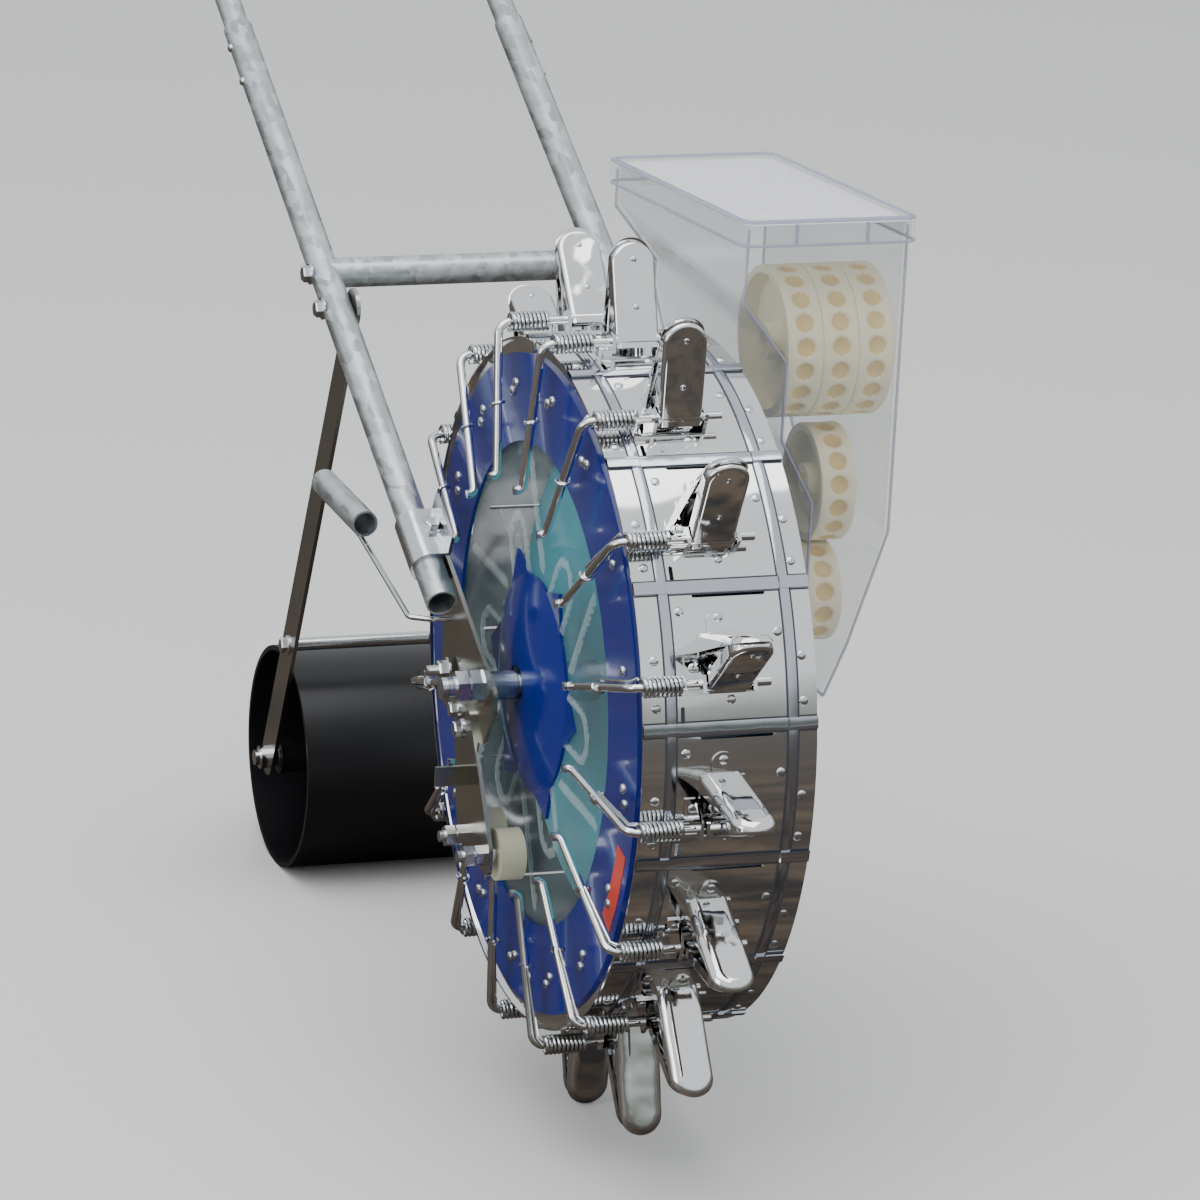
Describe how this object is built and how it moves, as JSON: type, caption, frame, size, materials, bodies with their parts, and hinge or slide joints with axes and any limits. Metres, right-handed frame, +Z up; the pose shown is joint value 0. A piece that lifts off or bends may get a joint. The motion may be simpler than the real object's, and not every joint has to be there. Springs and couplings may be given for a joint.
{
  "type": "hand seeder",
  "caption": "Hand-pushed drum seeder with sprung duckbills round a bright steel drum, a clear hopper, a press wheel and two handle tubes.",
  "frame": {"origin": "bottom centre of the whole machine as it stands, on the ground", "axes": "+X to the hopper side along the axle, +Y back to the handles, +Z up; it travels towards -Y"},
  "size_m": [0.3466, 1.4774, 0.8497],
  "materials": {
    "black_plastic": "smooth black",
    "blue_plastic": "glossy moulded blue",
    "clear_plastic": "clear moulded plastic",
    "cream_nylon": "cream nylon",
    "galvanised_steel": "hot-dip galvanised, satin",
    "plated_hardware": "bright plated bolts and rods",
    "rubber_grip": "black rubber",
    "stainless": "mirror-bright stainless sheet",
    "teal_plastic": "teal moulded plastic",
    "zinc_steel": "zinc-plated sheet, satin"
  },
  "bodies": {
    "frame": {"axle": "plated_hardware", "bar_stay": "plated_hardware", "cross_tube": "galvanised_steel", "front_cam_pin": "plated_hardware", "hopper_body": "clear_plastic", "hopper_bracket": "zinc_steel", "inlet_cover": "blue_plastic", "left_bar": "zinc_steel", "left_clamp": "plated_hardware", "left_grip": "rubber_grip", "left_plate": "zinc_steel", "left_spacer": "zinc_steel", "left_tube": "galvanised_steel", "left_upper_tube": "galvanised_steel", "marker_rod": "plated_hardware", "marker_tube": "galvanised_steel", "rear_cam_pin": "plated_hardware", "right_bar": "zinc_steel", "right_clamp": "plated_hardware", "right_grip": "rubber_grip", "right_plate": "zinc_steel", "right_spacer": "zinc_steel", "right_tube": "galvanised_steel", "right_upper_tube": "galvanised_steel", "roller_arm": "zinc_steel", "seed_duct": "clear_plastic", "spare_rollers": "cream_nylon", "wheel_axle": "plated_hardware"},
    "drum": {"drum_rim": "stainless", "left_ring": "blue_plastic", "right_ring": "blue_plastic", "window": "clear_plastic", "left_hub": "blue_plastic", "hub_tube": "zinc_steel", "fixed_beaks": "stainless", "lever_springs": "plated_hardware", "seed_disc": "teal_plastic"},
    "beak_01": {"beak_01": "stainless"},
    "beak_02": {"beak_02": "stainless"},
    "beak_03": {"beak_03": "stainless"},
    "beak_04": {"beak_04": "stainless"},
    "beak_05": {"beak_05": "stainless"},
    "beak_06": {"beak_06": "stainless"},
    "beak_07": {"beak_07": "stainless"},
    "beak_08": {"beak_08": "stainless"},
    "beak_09": {"beak_09": "stainless"},
    "beak_10": {"beak_10": "stainless"},
    "beak_11": {"beak_11": "stainless"},
    "beak_12": {"beak_12": "stainless"},
    "beak_13": {"beak_13": "stainless"},
    "beak_14": {"beak_14": "stainless"},
    "beak_15": {"beak_15": "stainless"},
    "beak_16": {"beak_16": "stainless"},
    "press_wheel": {"press_wheel": "black_plastic"},
    "hopper_lid": {"hopper_lid": "clear_plastic"},
    "front_cam_roller": {"front_cam_roller": "cream_nylon"},
    "rear_cam_roller": {"rear_cam_roller": "cream_nylon"}
  },
  "joints": [
    {"name": "drum_spin", "type": "hinge", "parent": "frame", "child": "drum", "pos_m": [-0.03875, -0.42271, 0.316], "axis": [1, 0, 0], "continuous": true},
    {"name": "beak_01_open", "type": "hinge", "parent": "drum", "child": "beak_01", "pos_m": [-0.04375, -0.67176, 0.29421], "axis": [1, 0, 0], "range_deg": [0, 20], "stiffness_Nm_per_rad": 1.5, "springref_deg": -20.05},
    {"name": "beak_02_open", "type": "hinge", "parent": "drum", "child": "beak_02", "pos_m": [-0.04375, -0.66114, 0.39118], "axis": [1, 0, 0], "range_deg": [0, 20], "stiffness_Nm_per_rad": 1.5, "springref_deg": -20.05},
    {"name": "beak_03_open", "type": "hinge", "parent": "drum", "child": "beak_03", "pos_m": [-0.04375, -0.61422, 0.4767], "axis": [1, 0, 0], "range_deg": [0, 20], "stiffness_Nm_per_rad": 1.5, "springref_deg": -20.05},
    {"name": "beak_04_open", "type": "hinge", "parent": "drum", "child": "beak_04", "pos_m": [-0.04375, -0.53815, 0.53776], "axis": [1, 0, 0], "range_deg": [0, 20], "stiffness_Nm_per_rad": 1.5, "springref_deg": -20.05},
    {"name": "beak_05_open", "type": "hinge", "parent": "drum", "child": "beak_05", "pos_m": [-0.04375, -0.4445, 0.56505], "axis": [1, 0, 0], "range_deg": [0, 20], "stiffness_Nm_per_rad": 1.5, "springref_deg": -20.05},
    {"name": "beak_06_open", "type": "hinge", "parent": "drum", "child": "beak_06", "pos_m": [-0.04375, -0.34754, 0.55443], "axis": [1, 0, 0], "range_deg": [0, 20], "stiffness_Nm_per_rad": 1.5, "springref_deg": -20.05},
    {"name": "beak_07_open", "type": "hinge", "parent": "drum", "child": "beak_07", "pos_m": [-0.04375, -0.26202, 0.50751], "axis": [1, 0, 0], "range_deg": [0, 20], "stiffness_Nm_per_rad": 1.5, "springref_deg": -20.05},
    {"name": "beak_08_open", "type": "hinge", "parent": "drum", "child": "beak_08", "pos_m": [-0.04375, -0.20096, 0.43144], "axis": [1, 0, 0], "range_deg": [0, 20], "stiffness_Nm_per_rad": 1.5, "springref_deg": -20.05},
    {"name": "beak_09_open", "type": "hinge", "parent": "drum", "child": "beak_09", "pos_m": [-0.04375, -0.17366, 0.33779], "axis": [1, 0, 0], "range_deg": [0, 20], "stiffness_Nm_per_rad": 1.5, "springref_deg": -20.05},
    {"name": "beak_10_open", "type": "hinge", "parent": "drum", "child": "beak_10", "pos_m": [-0.04375, -0.18428, 0.24083], "axis": [1, 0, 0], "range_deg": [0, 20], "stiffness_Nm_per_rad": 1.5, "springref_deg": -20.05},
    {"name": "beak_11_open", "type": "hinge", "parent": "drum", "child": "beak_11", "pos_m": [-0.04375, -0.2312, 0.15531], "axis": [1, 0, 0], "range_deg": [0, 20], "stiffness_Nm_per_rad": 1.5, "springref_deg": -20.05},
    {"name": "beak_12_open", "type": "hinge", "parent": "drum", "child": "beak_12", "pos_m": [-0.04375, -0.30728, 0.09425], "axis": [1, 0, 0], "range_deg": [0, 20], "stiffness_Nm_per_rad": 1.5, "springref_deg": -20.05},
    {"name": "beak_13_open", "type": "hinge", "parent": "drum", "child": "beak_13", "pos_m": [-0.04375, -0.40092, 0.06695], "axis": [1, 0, 0], "range_deg": [0, 20], "stiffness_Nm_per_rad": 1.5, "springref_deg": -20.05},
    {"name": "beak_14_open", "type": "hinge", "parent": "drum", "child": "beak_14", "pos_m": [-0.04375, -0.49789, 0.07757], "axis": [1, 0, 0], "range_deg": [0, 20], "stiffness_Nm_per_rad": 1.5, "springref_deg": -20.05},
    {"name": "beak_15_open", "type": "hinge", "parent": "drum", "child": "beak_15", "pos_m": [-0.04375, -0.58341, 0.12449], "axis": [1, 0, 0], "range_deg": [0, 20], "stiffness_Nm_per_rad": 1.5, "springref_deg": -20.05},
    {"name": "beak_16_open", "type": "hinge", "parent": "drum", "child": "beak_16", "pos_m": [-0.04375, -0.64447, 0.20057], "axis": [1, 0, 0], "range_deg": [0, 20], "stiffness_Nm_per_rad": 1.5, "springref_deg": -20.05},
    {"name": "press_wheel_spin", "type": "hinge", "parent": "frame", "child": "press_wheel", "pos_m": [-0.03875, 0.10329, 0.086], "axis": [1, 0, 0], "continuous": true},
    {"name": "lid_hinge", "type": "hinge", "parent": "frame", "child": "hopper_lid", "pos_m": [0.10825, -0.11063, 0.59058], "axis": [-1, 0, 0], "range_deg": [0, 110]},
    {"name": "front_cam_roller_spin", "type": "hinge", "parent": "frame", "child": "front_cam_roller", "pos_m": [-0.11875, -0.44421, 0.2], "axis": [1, 0, 0], "continuous": true},
    {"name": "rear_cam_roller_spin", "type": "hinge", "parent": "frame", "child": "rear_cam_roller", "pos_m": [-0.11875, -0.40121, 0.2], "axis": [1, 0, 0], "continuous": true}
  ]
}
